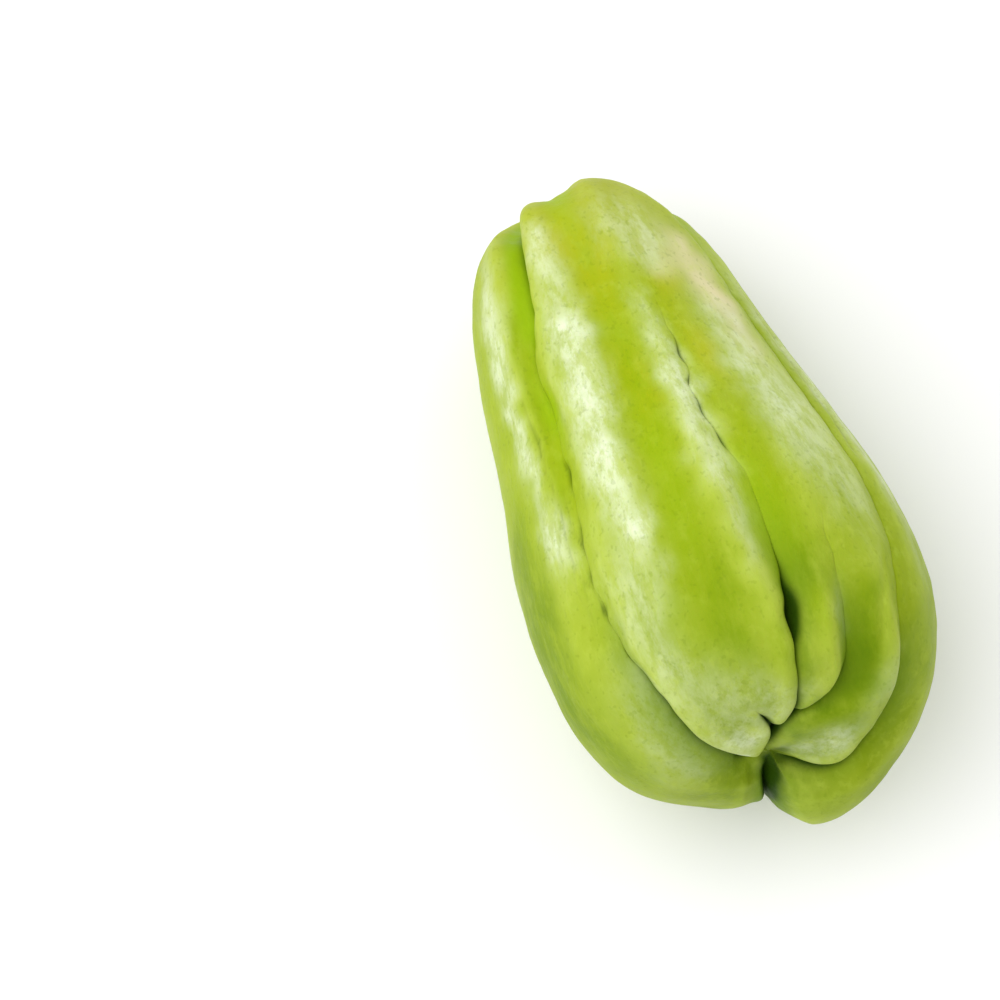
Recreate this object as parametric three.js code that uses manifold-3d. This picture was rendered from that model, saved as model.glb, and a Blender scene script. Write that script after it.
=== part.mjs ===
// A chayote squash as picked, lying on its side on a small flat spot. Millimetres, +Z up.
// +Y points to the stem end, -Y to the puckered blossom end, and +X to the right as seen from above.
//
// A place on the skin is given by two numbers: the way along the skin from the bottom of the pucker, in
// millimetres, and the angle round the long axis from the top, in degrees, positive to the right.
// A list of stations holds pairs: the way along the skin, and the value there.
import * as THREE from "three";
import { mergeVertices } from "three/addons/utils/BufferGeometryUtils.js";
import Module from "manifold-3d";

// Half of the lengthwise section: distance along the axis from the blossom end, and half width.
const OUTLINE = [
  [7, 0], [4.7, 3.5], [1.7, 10], [1.2, 18], [4.8, 27.1], [13.2, 34.3], [27, 39.5], [45, 40.6], [63, 38.6],
  [82, 35.2], [102, 31.8], [120, 28.4], [133.8, 23.4], [143, 15], [146.6, 7], [145.6, 2.4], [144.8, 0],
];
const OUTLINE_STEPS = 2400;

// The long axis wanders a little, and the fruit is slightly flatter than it is wide.
const CENTRE_X = [
  [0, -0.5], [20, 2.5], [45, 2.7], [75, 2.7], [105, 1.5], [140, -0.2], [165, -0.2], [200, 1.8],
];
const CENTRE_Z = [[0, 2], [20, 2.2], [45, 1], [75, 0], [105, 0], [140, 0.5], [200, 1]];
const DEPTH_OVER_WIDTH = [[0, 0.9], [45, 0.91], [75, 0.92], [105, 0.94], [200, 0.95]];

// The blossom end leans, so that its top stands back: the slope, and how far along the skin it fades out.
const END_LEAN = 0.22;
const END_LEAN_REACH = 60;

// The furrows that part the lobes, in order round the fruit. Each follows a path of angles. A soft valley
// falls to it from both sides, a sharp crease runs along its bottom, and the tuck slides the crease to the
// right, under the lobe there, or to the left where it is negative.
const FURROWS = [
  {
    name: "left of the front lobe",
    path: [
      [0, -85], [6, -76], [12, -60], [23, -53], [38, -46], [54, -45], [67, -45], [80, -43.5], [92, -41],
      [108, -40.5], [122, -42], [140, -38.5], [156, -36.5], [172, -42], [192, -50],
    ],
    valleyDepth: [
      [0, 0], [6, 1.5], [12, 2.2], [38, 2.2], [54, 1.6], [84, 0.9], [104, 1.4], [114, 2.4], [126, 1.3],
      [140, 3.4], [156, 3.6], [176, 3.8], [188, 0],
    ],
    valleyLeft: [
      [0, 8], [12, 10], [23, 14], [38, 15], [54, 12], [84, 7], [126, 4.6], [144, 6.5], [158, 5.5], [192, 6],
    ],
    valleyRight: [[0, 5], [12, 4], [38, 4], [67, 6], [104, 6], [140, 5], [192, 6]],
    creaseDepth: [
      [0, 0], [6, 2.2], [12, 2.8], [23, 2.8], [38, 2.2], [54, 1.2], [67, 0.8], [104, 0.8], [122, 1],
      [140, 1.8], [156, 2.6], [172, 1.6], [186, 0],
    ],
    creaseWidth: [[0, 4], [38, 4], [67, 3], [122, 3], [150, 4], [192, 4]],
    tuck: [[0, 0], [12, 1.6], [23, 1.8], [38, 1.4], [67, 0.2], [104, 0], [140, 1.2], [156, 1.2], [186, 0]],
  },
  {
    name: "notch in the front lobe's tip, and the hollow above it",
    path: [
      [0, -40], [9, -19], [12.5, -12], [16, -8.5], [21.5, -11], [27, -14], [50, -14], [90, -10], [140, -4],
      [160, -7], [192, -7],
    ],
    valleyDepth: [
      [0, 0], [22, 0], [34, 0.4], [50, 0.5], [67, 1.2], [90, 1.5], [114, 1.1], [160, 1.6], [176, 3],
      [188, 0],
    ],
    valleyLeft: [[0, 4], [27, 5], [50, 9], [160, 8], [192, 5]],
    valleyRight: [[0, 4], [27, 5], [50, 9], [160, 8], [192, 5]],
    creaseDepth: [[0, 0], [9, 3], [16, 3.6], [21, 2.6], [27, 0], [192, 0]],
    creaseWidth: [[0, 3], [17, 2.6], [28, 3], [192, 3]],
    tuck: [[0, 0], [9, 0], [17, -0.6], [22, -0.6], [28, 0]],
  },
  {
    name: "slot right of the front lobe",
    path: [
      [0, -37], [9, -15.5], [12.5, -9], [15.5, -4.5], [17.5, 0], [19.5, 5], [23, 8.5], [34, 10], [48, 12],
      [66, 12.5], [80, 12.5], [88, 10], [100, 8.5], [112, 12], [118, 12.5], [160, 18], [192, 18],
    ],
    valleyDepth: [
      [0, 0], [9, 0.6], [30, 0.8], [40, 1.4], [56, 2.6], [66, 2.6], [80, 1.8], [92, 1], [118, 0.3],
      [160, 0.2], [186, 0],
    ],
    valleyLeft: [[0, 4], [40, 4], [48, 5], [56, 7], [66, 9], [80, 9], [92, 6], [192, 6]],
    valleyRight: [[0, 6], [30, 7], [48, 10], [66, 13], [80, 13], [92, 10], [118, 6], [192, 6]],
    creaseDepth: [
      [0, 0], [9, 3], [18, 3.8], [22, 2.8], [28, 1.8], [38, 2.6], [47, 6.5], [55, 3], [63, 1], [80, 0.4],
      [92, 0.8], [118, 0.7], [132, 0], [192, 0],
    ],
    creaseWidth: [[0, 3], [22, 2.6], [36, 2.6], [48, 4.6], [58, 4], [92, 2.4], [192, 2.2]],
    tuck: [[0, 0], [18, 0], [26, -0.8], [40, -1.2], [48, -1.2], [60, -0.4], [80, 0]],
  },
  {
    name: "right of the small front lobe",
    path: [
      [0, -34], [9, -12], [12.5, -6], [15.5, -1.5], [17.5, 4], [19, 9], [20.5, 17], [24, 27], [31, 33],
      [40, 31], [59, 29], [192, 30],
    ],
    valleyDepth: [[0, 0], [9, 0.6], [18, 1], [26, 3], [40, 2.6], [59, 1.2], [72, 0.3], [100, 0]],
    valleyLeft: [[0, 4], [24, 3], [36, 6], [192, 6]],
    valleyRight: [[0, 6], [24, 10], [40, 11], [59, 9], [192, 8]],
    creaseDepth: [[0, 0], [9, 3], [18, 3.6], [24, 3], [29, 1.8], [35, 0.8], [59, 0.4], [72, 0]],
    creaseWidth: [[0, 3], [18, 3], [23, 5], [30, 4], [48, 3], [192, 3]],
    tuck: [[0, 0], [18, 0], [24, -1.4], [30, -1], [40, -0.4], [52, 0]],
  },
  {
    name: "round the right-hand lobe and up the right side",
    path: [
      [0, 138], [6, 132], [12, 116], [17, 88], [28, 66], [39, 57], [52, 52], [67, 54], [87, 55], [110, 56],
      [131, 58], [151, 62], [192, 62],
    ],
    valleyDepth: [
      [0, 0], [6, 1], [17, 1.8], [28, 2], [39, 1.6], [52, 1], [67, 0.7], [131, 0.8], [151, 1.3], [168, 2.8],
      [186, 0],
    ],
    valleyLeft: [[0, 4], [39, 5], [52, 6], [140, 6], [168, 9], [192, 6]],
    valleyRight: [[0, 8], [17, 12], [28, 14], [39, 12], [52, 9], [67, 6], [140, 6], [168, 10], [192, 6]],
    creaseDepth: [
      [0, 0], [6, 3], [12, 3.6], [17, 3], [28, 1.6], [39, 0.8], [52, 0.5], [87, 1.1], [110, 1.2],
      [151, 0.8], [172, 0.4], [186, 0],
    ],
    creaseWidth: [[0, 4], [17, 4.4], [39, 4], [52, 3], [67, 2.4], [131, 2.6], [192, 3]],
    tuck: [
      [0, 0], [6, -0.8], [12, -1.8], [17, -1.8], [28, -1.4], [39, -0.8], [52, -0.3], [67, 0], [110, 0.3],
      [150, 0],
    ],
  },
  {
    name: "back, right",
    path: [[0, 175], [14, 168], [30, 142], [60, 122], [100, 116], [192, 118]],
    valleyDepth: [[0, 0], [26, 0], [48, 1.1], [90, 1.3], [140, 1.7], [165, 1.4], [186, 0]],
    valleyLeft: [[0, 8], [60, 13], [192, 9]],
    valleyRight: [[0, 8], [60, 13], [192, 9]],
    creaseDepth: [[0, 0], [30, 0], [60, 0.5], [120, 0.5], [165, 0.8], [186, 0]],
    creaseWidth: [[0, 3], [192, 3]],
    tuck: [[0, 0], [192, 0]],
  },
  {
    name: "cleft of the blossom end, and the furrow along the underside",
    path: [[0, 202], [6, 201], [14, 199], [26, 195], [42, 189], [62, 184], [90, 179], [192, 179]],
    valleyDepth: [
      [0, 0], [6, 2], [14, 3], [26, 3.6], [42, 2.6], [62, 1.2], [90, 0.4], [115, 0.7], [150, 1.8],
      [172, 1.4], [186, 0],
    ],
    valleyLeft: [[0, 3], [14, 5], [26, 9], [42, 13], [192, 10]],
    valleyRight: [[0, 6], [14, 8], [26, 10], [42, 13], [192, 10]],
    creaseDepth: [
      [0, 0], [6, 4.5], [14, 7.5], [24, 6.5], [42, 2], [62, 0.9], [90, 0.3], [120, 0.4], [150, 1.2],
      [172, 1.4], [186, 0],
    ],
    creaseWidth: [[0, 2], [14, 2.2], [26, 3], [42, 4], [192, 4]],
    tuck: [[0, 0], [26, 0.4], [42, 0.4], [62, 0]],
  },
];

// Low swellings and dips of the skin: where they are, their height, and how far they reach each way.
const SWELLINGS = [
  { along: 16, angle: 154, height: 4, reachAlong: 14, reachAcross: 16 },
  { along: 26, angle: 168, height: 1.2, reachAlong: 10, reachAcross: 8 },
  { along: 25, angle: -134, height: -4, reachAlong: 12, reachAcross: 15 },
  { along: 30, angle: 50, height: 1, reachAlong: 14, reachAcross: 8 },
  { along: 178, angle: -44, height: -1.4, reachAlong: 8, reachAcross: 10 },
  { along: 88, angle: -94, height: 1.2, reachAlong: 20, reachAcross: 16 },
  { along: 160, angle: -8, height: 2.4, reachAlong: 14, reachAcross: 16 },
  { along: 52, angle: 62, height: 0.8, reachAlong: 22, reachAcross: 14 },
  { along: 104, angle: -24, height: 1, reachAlong: 34, reachAcross: 9 },
  { along: 92, angle: 3, height: 0.7, reachAlong: 24, reachAcross: 7 },
];

// How the fruit lies: the blossom end is raised by this pitch, and the flat spot is this deep.
const PITCH = 8;
const FLAT_DEPTH = 0.6;

// The facets: rings along the skin, closer at both ends, and columns between each furrow and the next,
// closer beside the furrows.
const RINGS = 62;
const RING_CROWDING = 0.5;
const COLUMNS = [9, 8, 8, 8, 10, 9, 14];
const COLUMN_CROWDING = 0.8;

// The block whose top is the ground: it is cut away from the skin, and is larger than the flat spot.
const GROUND_SIZE = [60, 100, 20];

const SKIN_COLOUR = new THREE.Color().setRGB(0.62, 0.74, 0.24, THREE.SRGBColorSpace);

// The section curve, and the length of the skin from pole to pole.
const section = new THREE.SplineCurve(OUTLINE.map(([along, half]) => new THREE.Vector2(along, half)));
section.arcLengthDivisions = OUTLINE_STEPS;
const SKIN_LENGTH = section.getLength();
const PUCKER = new THREE.Vector3(0, -1, 0);
const STEM = new THREE.Vector3(0, 1, 0);

// How far to each side the skin is looked at to find which way it faces: in millimetres, and in radians.
const NORMAL_STEP = 0.05;
const NORMAL_TURN = 0.002;

// At the two poles a furrow still has this much radius to spread over.
const SMALLEST_HALF_WIDTH = 0.5;

// Furrows no further apart than the first distance run on as one, and from the second on they are parted.
const JOINED_ROOM = 1;
const PARTED_ROOM = 4;

// A smooth curve through stations. It is level at both ends and at each station that is a high or a low.
function through(stations, at) {
  const last = stations.length - 1;
  if (at <= stations[0][0]) return stations[0][1];
  if (at >= stations[last][0]) return stations[last][1];
  const next = stations.findIndex(([where]) => where > at);
  const [x0, y0] = stations[next - 1];
  const [x1, y1] = stations[next];
  const t = (at - x0) / (x1 - x0);
  const rise0 = slopeAt(stations, next - 1) * (x1 - x0);
  const rise1 = slopeAt(stations, next) * (x1 - x0);
  const cube = t ** 3;
  const square = t ** 2;
  return (
    (2 * cube - 3 * square + 1) * y0 +
    (cube - 2 * square + t) * rise0 +
    (3 * square - 2 * cube) * y1 +
    (cube - square) * rise1
  );
}

function slopeAt(stations, index) {
  if (index === 0 || index === stations.length - 1) return 0;
  const [xBefore, yBefore] = stations[index - 1];
  const y = stations[index][1];
  const [xAfter, yAfter] = stations[index + 1];
  if ((yAfter - y) * (y - yBefore) <= 0) return 0;
  return (yAfter - yBefore) / (xAfter - xBefore);
}

// The plain body before any furrow: where its skin is at a place.
function bodyPoint(along, angle) {
  const { x: distance, y: half } = section.getPointAt(along / SKIN_LENGTH);
  const halfWidth = Math.max(half, 0);
  const x = through(CENTRE_X, along) + halfWidth * Math.sin(angle);
  const z = through(CENTRE_Z, along) + halfWidth * through(DEPTH_OVER_WIDTH, along) * Math.cos(angle);
  const lean = END_LEAN * z * (1 - THREE.MathUtils.smoothstep(along, 0, END_LEAN_REACH));
  return new THREE.Vector3(x, distance + lean, z);
}

// The body's outward direction at a place, from its points a little way off to each side.
function bodyNormal(along, angle) {
  if (along < NORMAL_STEP) return PUCKER;
  if (along > SKIN_LENGTH - NORMAL_STEP) return STEM;
  const ahead = bodyPoint(along + NORMAL_STEP, angle).sub(bodyPoint(along - NORMAL_STEP, angle));
  const round = bodyPoint(along, angle + NORMAL_TURN).sub(bodyPoint(along, angle - NORMAL_TURN));
  return round.cross(ahead).normalize();
}

const valleyShape = (share) => (share < 1 ? (1 - share * share) ** 2 : 0);
const creaseShape = (share) => (share < 1 ? 1 - Math.sqrt(share * (2 - share)) : 0);
const tuckShape = (share) => (share < 1 ? (1 - share) ** 4 : 0);

// Spread a share from 0 to 1 so that steps are short at both ends.
const crowded = (share, crowding) => share - (crowding * Math.sin(2 * Math.PI * share)) / (2 * Math.PI);

// A furrow's pull on the skin at a distance to one side of its path.
function furrowPull(furrow, valleySide, along, distance, room) {
  const valley = through(furrow.valleyDepth, along);
  const crease = through(furrow.creaseDepth, along);
  const tuck = through(furrow.tuck, along);
  const valleyShare = distance / Math.min(through(furrow[valleySide], along), room);
  const creaseShare = distance / Math.min(through(furrow.creaseWidth, along), room);
  return {
    depth: valley * valleyShape(valleyShare) + crease * creaseShape(creaseShare),
    slide: tuck * tuckShape(creaseShare),
  };
}

function bottomDepth(furrow, along) {
  return through(furrow.valleyDepth, along) + through(furrow.creaseDepth, along);
}

// How deep the skin lies between two furrows. Where they run close together it sinks to their bottoms.
function depthBetween(first, second, pulls, share, room, along) {
  const depth = pulls.reduce((sum, pull) => sum + pull.depth, 0);
  const bottoms = THREE.MathUtils.lerp(bottomDepth(first, along), bottomDepth(second, along), share);
  const parted = THREE.MathUtils.smoothstep(room, JOINED_ROOM, PARTED_ROOM);
  return THREE.MathUtils.lerp(bottoms, depth, parted);
}

function swellingHeight(swelling, point) {
  const centre = bodyPoint(swelling.along, THREE.MathUtils.degToRad(swelling.angle));
  const along = (point.y - centre.y) / swelling.reachAlong;
  const across = Math.hypot(point.x - centre.x, point.z - centre.z) / swelling.reachAcross;
  return swelling.height * Math.exp(-(along ** 2) - across ** 2);
}

// The finished skin between one furrow and the next, at a share of the way round from the first.
function skinPoint(first, second, share, along) {
  const span = (through(second.path, along) - through(first.path, along) + 360) % 360;
  const degrees = through(first.path, along) + span * crowded(share, COLUMN_CROWDING);
  const angle = THREE.MathUtils.degToRad(degrees);
  const half = Math.max(section.getPointAt(along / SKIN_LENGTH).y, SMALLEST_HALF_WIDTH);
  const room = THREE.MathUtils.degToRad(span) * half;
  const gone = room * crowded(share, COLUMN_CROWDING);
  const pulls = [furrowPull(first, "valleyRight", along, gone, room)];
  if (share > 0) pulls.push(furrowPull(second, "valleyLeft", along, room - gone, room));
  const point = bodyPoint(along, angle);
  let height = 0;
  for (const swelling of SWELLINGS) height += swellingHeight(swelling, point);
  height -= depthBetween(first, second, pulls, gone / room, room, along);
  const slide = pulls.reduce((sum, pull) => sum + pull.slide, 0);
  const sideways = new THREE.Vector3(Math.cos(angle), 0, -Math.sin(angle));
  return point.addScaledVector(bodyNormal(along, angle), height).addScaledVector(sideways, slide);
}

// The closed skin, in the fruit's own frame: a sphere's grid of vertices, each put at its place.
function fruitSkin() {
  const columns = FURROWS.flatMap((furrow, sector) =>
    Array.from({ length: COLUMNS[sector] }, (_, step) => ({
      first: furrow,
      second: FURROWS[(sector + 1) % FURROWS.length],
      share: step / COLUMNS[sector],
    })),
  );
  const skin = new THREE.SphereGeometry(1, columns.length, RINGS);
  for (let ring = 0; ring <= RINGS; ring++) {
    const along = SKIN_LENGTH * (1 - crowded(ring / RINGS, RING_CROWDING));
    for (let column = 0; column <= columns.length; column++) {
      const { first, second, share } = columns[column % columns.length];
      const point = skinPoint(first, second, share, along);
      skin.attributes.position.setXYZ(ring * (columns.length + 1) + column, point.x, point.y, point.z);
    }
  }
  return skin;
}

// Boolean cutting, between geometries that each are one closed surface.
const wasm = await Module();
wasm.setup();

function toSolid(geometry) {
  const bare = new THREE.BufferGeometry();
  bare.setAttribute("position", geometry.getAttribute("position"));
  bare.setIndex(geometry.index);
  const merged = mergeVertices(bare);
  const triVerts = new Uint32Array(merged.index.array);
  return new wasm.Manifold(
    new wasm.Mesh({ numProp: 3, vertProperties: merged.attributes.position.array, triVerts }),
  );
}

function toGeometry(solid) {
  const mesh = solid.getMesh();
  const geometry = new THREE.BufferGeometry();
  geometry.setAttribute("position", new THREE.BufferAttribute(mesh.vertProperties, mesh.numProp));
  geometry.setIndex(new THREE.BufferAttribute(mesh.triVerts, 1));
  geometry.computeVertexNormals();
  return geometry;
}

// Lay the skin down, and cut the flat spot that it lies on at z = 0.
function lyingFruit() {
  const skin = fruitSkin();
  skin.rotateX(-THREE.MathUtils.degToRad(PITCH));
  skin.computeBoundingBox();
  const { min, max } = skin.boundingBox;
  skin.translate(-(min.x + max.x) / 2, -(min.y + max.y) / 2, -min.z - FLAT_DEPTH);
  const ground = new THREE.BoxGeometry(...GROUND_SIZE).translate(0, 0, -GROUND_SIZE[2] / 2);
  return toGeometry(toSolid(skin).subtract(toSolid(ground)));
}

const fruit = new THREE.Mesh(
  lyingFruit(),
  new THREE.MeshStandardMaterial({ color: SKIN_COLOUR, roughness: 0.45, metalness: 0 }),
);
fruit.name = "chayote";

const squash = new THREE.Group();
squash.name = "chayote_squash";
squash.add(fruit);

export default squash;
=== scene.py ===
"""A chayote squash lying on a pale floor, seen from above the blossom end."""

import bpy
import numpy as np
from mathutils import Matrix, Vector


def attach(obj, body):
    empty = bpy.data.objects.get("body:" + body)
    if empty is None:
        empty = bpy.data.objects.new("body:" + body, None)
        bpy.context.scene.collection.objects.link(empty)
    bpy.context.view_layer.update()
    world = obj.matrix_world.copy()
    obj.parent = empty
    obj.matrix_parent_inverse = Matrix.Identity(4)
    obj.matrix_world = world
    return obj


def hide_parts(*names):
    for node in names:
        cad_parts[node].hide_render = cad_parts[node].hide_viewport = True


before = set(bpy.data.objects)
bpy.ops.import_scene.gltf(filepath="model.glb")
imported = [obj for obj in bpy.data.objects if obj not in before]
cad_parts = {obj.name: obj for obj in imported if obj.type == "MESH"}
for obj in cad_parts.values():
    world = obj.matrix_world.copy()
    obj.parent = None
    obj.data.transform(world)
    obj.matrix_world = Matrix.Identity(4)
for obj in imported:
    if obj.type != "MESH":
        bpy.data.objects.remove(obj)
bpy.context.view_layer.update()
MM = 0.001

# Shape of the fruit, in millimetres, as in the part's source. A place on the skin is given by the way along
# it from the bottom of the pucker and the angle round the long axis from the top, positive to the right.
# A list of stations holds pairs: the way along the skin, and the value there.

# Half of the lengthwise section: distance along the axis from the blossom end, and half width.
OUTLINE = [
    [7, 0], [4.7, 3.5], [1.7, 10], [1.2, 18], [4.8, 27.1], [13.2, 34.3], [27, 39.5], [45, 40.6], [63, 38.6],
    [82, 35.2], [102, 31.8], [120, 28.4], [133.8, 23.4], [143, 15], [146.6, 7], [145.6, 2.4], [144.8, 0],
]
OUTLINE_STEPS = 2400

# The long axis wanders a little, and the fruit is slightly flatter than it is wide.
CENTRE_X = [
    [0, -0.5], [20, 2.5], [45, 2.7], [75, 2.7], [105, 1.5], [140, -0.2], [165, -0.2], [200, 1.8],
]
CENTRE_Z = [[0, 2], [20, 2.2], [45, 1], [75, 0], [105, 0], [140, 0.5], [200, 1]]
DEPTH_OVER_WIDTH = [[0, 0.9], [45, 0.91], [75, 0.92], [105, 0.94], [200, 0.95]]

# The blossom end leans, so that its top stands back: the slope, and how far along the skin it fades out.
END_LEAN = 0.22
END_LEAN_REACH = 60

# The furrows that part the lobes, in order round the fruit. Each follows a path of angles. A soft valley
# falls to it from both sides, a sharp crease runs along its bottom, and the tuck slides the crease to the
# right, under the lobe there, or to the left where it is negative. Two creases are broken into dashes. For
# them it says where the broken stretch starts and ends, how deep the crease stays between the dashes, and
# each dash's middle and half length.
FURROWS = [
    # Left of the front lobe.
    {
        "path": [
            [0, -85], [6, -76], [12, -60], [23, -53], [38, -46], [54, -45], [67, -45], [80, -43.5],
            [92, -41], [108, -40.5], [122, -42], [140, -38.5], [156, -36.5], [172, -42], [192, -50],
        ],
        "valley_depth": [
            [0, 0], [6, 1.5], [12, 2.2], [38, 2.2], [54, 1.6], [84, 0.9], [104, 1.4], [114, 2.4],
            [126, 1.3], [140, 3.4], [156, 3.6], [176, 3.8], [188, 0],
        ],
        "valley_left": [
            [0, 8], [12, 10], [23, 14], [38, 15], [54, 12], [84, 7], [126, 4.6], [144, 6.5],
            [158, 5.5], [192, 6],
        ],
        "valley_right": [[0, 5], [12, 4], [38, 4], [67, 6], [104, 6], [140, 5], [192, 6]],
        "crease_depth": [
            [0, 0], [6, 2.2], [12, 2.8], [23, 2.8], [38, 2.2], [54, 1.2], [67, 0.8], [104, 0.8],
            [122, 1], [140, 1.8], [156, 2.6], [172, 1.6], [186, 0],
        ],
        "crease_width": [[0, 4], [38, 4], [67, 3], [122, 3], [150, 4], [192, 4]],
        "tuck": [
            [0, 0], [12, 1.6], [23, 1.8], [38, 1.4], [67, 0.2], [104, 0], [140, 1.2], [156, 1.2],
            [186, 0],
        ],
        "broken": {"from": 58, "to": 112, "rest": 0.5, "dashes": [(97, 6), (82, 6), (73, 3), (65, 3)]},
    },
    # Notch in the front lobe's tip, and the hollow above it.
    {
        "path": [
            [0, -40], [9, -19], [12.5, -12], [16, -8.5], [21.5, -11], [27, -14], [50, -14], [90, -10],
            [140, -4], [160, -7], [192, -7],
        ],
        "valley_depth": [
            [0, 0], [22, 0], [34, 0.4], [50, 0.5], [67, 1.2], [90, 1.5], [114, 1.1], [160, 1.6],
            [176, 3], [188, 0],
        ],
        "valley_left": [[0, 4], [27, 5], [50, 9], [160, 8], [192, 5]],
        "valley_right": [[0, 4], [27, 5], [50, 9], [160, 8], [192, 5]],
        "crease_depth": [[0, 0], [9, 3], [16, 3.6], [21, 2.6], [27, 0], [192, 0]],
        "crease_width": [[0, 3], [17, 2.6], [28, 3], [192, 3]],
        "tuck": [[0, 0], [9, 0], [17, -0.6], [22, -0.6], [28, 0]],
    },
    # Slot right of the front lobe.
    {
        "path": [
            [0, -37], [9, -15.5], [12.5, -9], [15.5, -4.5], [17.5, 0], [19.5, 5], [23, 8.5], [34, 10],
            [48, 12], [66, 12.5], [80, 12.5], [88, 10], [100, 8.5], [112, 12], [118, 12.5], [160, 18],
            [192, 18],
        ],
        "valley_depth": [
            [0, 0], [9, 0.6], [30, 0.8], [40, 1.4], [56, 2.6], [66, 2.6], [80, 1.8], [92, 1],
            [118, 0.3], [160, 0.2], [186, 0],
        ],
        "valley_left": [[0, 4], [40, 4], [48, 5], [56, 7], [66, 9], [80, 9], [92, 6], [192, 6]],
        "valley_right": [[0, 6], [30, 7], [48, 10], [66, 13], [80, 13], [92, 10], [118, 6], [192, 6]],
        "crease_depth": [
            [0, 0], [9, 3], [18, 3.8], [22, 2.8], [28, 1.8], [38, 2.6], [47, 6.5], [55, 3], [63, 1],
            [80, 0.4], [92, 0.8], [118, 0.7], [132, 0], [192, 0],
        ],
        "crease_width": [[0, 3], [22, 2.6], [36, 2.6], [48, 4.6], [58, 4], [92, 2.4], [192, 2.2]],
        "tuck": [[0, 0], [18, 0], [26, -0.8], [40, -1.2], [48, -1.2], [60, -0.4], [80, 0]],
        "broken": {"from": 84, "to": 126, "rest": 0.6, "dashes": [(114, 5), (106, 2), (98, 5), (89, 4)]},
    },
    # Right of the small front lobe.
    {
        "path": [
            [0, -34], [9, -12], [12.5, -6], [15.5, -1.5], [17.5, 4], [19, 9], [20.5, 17], [24, 27],
            [31, 33], [40, 31], [59, 29], [192, 30],
        ],
        "valley_depth": [[0, 0], [9, 0.6], [18, 1], [26, 3], [40, 2.6], [59, 1.2], [72, 0.3], [100, 0]],
        "valley_left": [[0, 4], [24, 3], [36, 6], [192, 6]],
        "valley_right": [[0, 6], [24, 10], [40, 11], [59, 9], [192, 8]],
        "crease_depth": [
            [0, 0], [9, 3], [18, 3.6], [24, 3], [29, 1.8], [35, 0.8], [59, 0.4], [72, 0],
        ],
        "crease_width": [[0, 3], [18, 3], [23, 5], [30, 4], [48, 3], [192, 3]],
        "tuck": [[0, 0], [18, 0], [24, -1.4], [30, -1], [40, -0.4], [52, 0]],
    },
    # Round the right-hand lobe and up the right side.
    {
        "path": [
            [0, 138], [6, 132], [12, 116], [17, 88], [28, 66], [39, 57], [52, 52], [67, 54], [87, 55],
            [110, 56], [131, 58], [151, 62], [192, 62],
        ],
        "valley_depth": [
            [0, 0], [6, 1], [17, 1.8], [28, 2], [39, 1.6], [52, 1], [67, 0.7], [131, 0.8], [151, 1.3],
            [168, 2.8], [186, 0],
        ],
        "valley_left": [[0, 4], [39, 5], [52, 6], [140, 6], [168, 9], [192, 6]],
        "valley_right": [
            [0, 8], [17, 12], [28, 14], [39, 12], [52, 9], [67, 6], [140, 6], [168, 10], [192, 6],
        ],
        "crease_depth": [
            [0, 0], [6, 3], [12, 3.6], [17, 3], [28, 1.6], [39, 0.8], [52, 0.5], [87, 1.1],
            [110, 1.2], [151, 0.8], [172, 0.4], [186, 0],
        ],
        "crease_width": [[0, 4], [17, 4.4], [39, 4], [52, 3], [67, 2.4], [131, 2.6], [192, 3]],
        "tuck": [
            [0, 0], [6, -0.8], [12, -1.8], [17, -1.8], [28, -1.4], [39, -0.8], [52, -0.3], [67, 0],
            [110, 0.3], [150, 0],
        ],
    },
    # Back, right.
    {
        "path": [[0, 175], [14, 168], [30, 142], [60, 122], [100, 116], [192, 118]],
        "valley_depth": [[0, 0], [26, 0], [48, 1.1], [90, 1.3], [140, 1.7], [165, 1.4], [186, 0]],
        "valley_left": [[0, 8], [60, 13], [192, 9]],
        "valley_right": [[0, 8], [60, 13], [192, 9]],
        "crease_depth": [[0, 0], [30, 0], [60, 0.5], [120, 0.5], [165, 0.8], [186, 0]],
        "crease_width": [[0, 3], [192, 3]],
        "tuck": [[0, 0], [192, 0]],
    },
    # Cleft of the blossom end, and the furrow along the underside.
    {
        "path": [[0, 202], [6, 201], [14, 199], [26, 195], [42, 189], [62, 184], [90, 179], [192, 179]],
        "valley_depth": [
            [0, 0], [6, 2], [14, 3], [26, 3.6], [42, 2.6], [62, 1.2], [90, 0.4], [115, 0.7],
            [150, 1.8], [172, 1.4], [186, 0],
        ],
        "valley_left": [[0, 3], [14, 5], [26, 9], [42, 13], [192, 10]],
        "valley_right": [[0, 6], [14, 8], [26, 10], [42, 13], [192, 10]],
        "crease_depth": [
            [0, 0], [6, 4.5], [14, 7.5], [24, 6.5], [42, 2], [62, 0.9], [90, 0.3], [120, 0.4],
            [150, 1.2], [172, 1.4], [186, 0],
        ],
        "crease_width": [[0, 2], [14, 2.2], [26, 3], [42, 4], [192, 4]],
        "tuck": [[0, 0], [26, 0.4], [42, 0.4], [62, 0]],
    },
]

# Low swellings and dips of the skin: where they are, their height, and how far they reach each way.
SWELLINGS = [
    {"along": 16, "angle": 154, "height": 4, "reach_along": 14, "reach_across": 16},
    {"along": 26, "angle": 168, "height": 1.2, "reach_along": 10, "reach_across": 8},
    {"along": 25, "angle": -134, "height": -4, "reach_along": 12, "reach_across": 15},
    {"along": 30, "angle": 50, "height": 1, "reach_along": 14, "reach_across": 8},
    {"along": 178, "angle": -44, "height": -1.4, "reach_along": 8, "reach_across": 10},
    {"along": 88, "angle": -94, "height": 1.2, "reach_along": 20, "reach_across": 16},
    {"along": 160, "angle": -8, "height": 2.4, "reach_along": 14, "reach_across": 16},
    {"along": 52, "angle": 62, "height": 0.8, "reach_along": 22, "reach_across": 14},
    {"along": 104, "angle": -24, "height": 1, "reach_along": 34, "reach_across": 9},
    {"along": 92, "angle": 3, "height": 0.7, "reach_along": 24, "reach_across": 7},
]

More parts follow.
